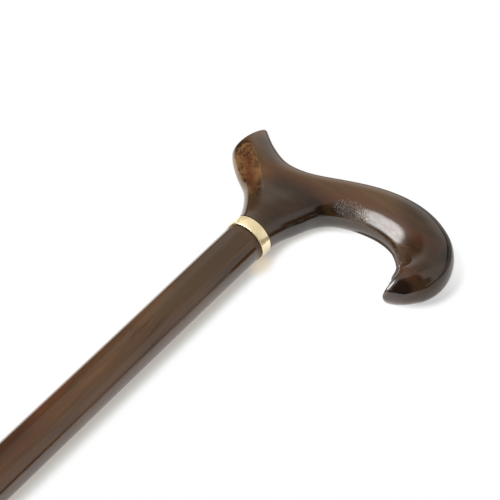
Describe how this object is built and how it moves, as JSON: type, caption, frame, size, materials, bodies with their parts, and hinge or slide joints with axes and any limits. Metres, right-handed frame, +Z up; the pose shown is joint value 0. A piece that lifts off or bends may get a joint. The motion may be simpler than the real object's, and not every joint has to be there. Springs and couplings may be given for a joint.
{
  "type": "derby cane",
  "caption": "Wooden walking cane lying on its side: a carved derby handle with a hooked tail, a brass collar, a tapered shaft and a push-fit rubber ferrule.",
  "frame": {"origin": "on the surface that the cane lies on, under the middle of its bounding box", "axes": "+X along the shaft towards the handle, -Y towards the handle's hooked tail, +Z up"},
  "size_m": [0.918, 0.1326, 0.032],
  "materials": {
    "handle_wood": "dark walnut stain under gloss lacquer",
    "collar_brass": "polished, pale gold tone",
    "shaft_wood": "dark walnut stain under gloss lacquer",
    "stud_steel": "plain steel",
    "ferrule_rubber": "black moulded rubber",
    "washer_steel": "plain steel"
  },
  "bodies": {
    "cane": {"handle": "handle_wood", "collar": "collar_brass", "shaft": "shaft_wood", "joint_stud": "stud_steel"},
    "ferrule_tip": {"ferrule": "ferrule_rubber", "ferrule_washer": "washer_steel"}
  },
  "joints": [
    {"name": "ferrule_pull", "type": "slide", "parent": "cane", "child": "ferrule_tip", "axis": [-1, 0, 0.0037], "range_m": [0, 0.036]}
  ]
}
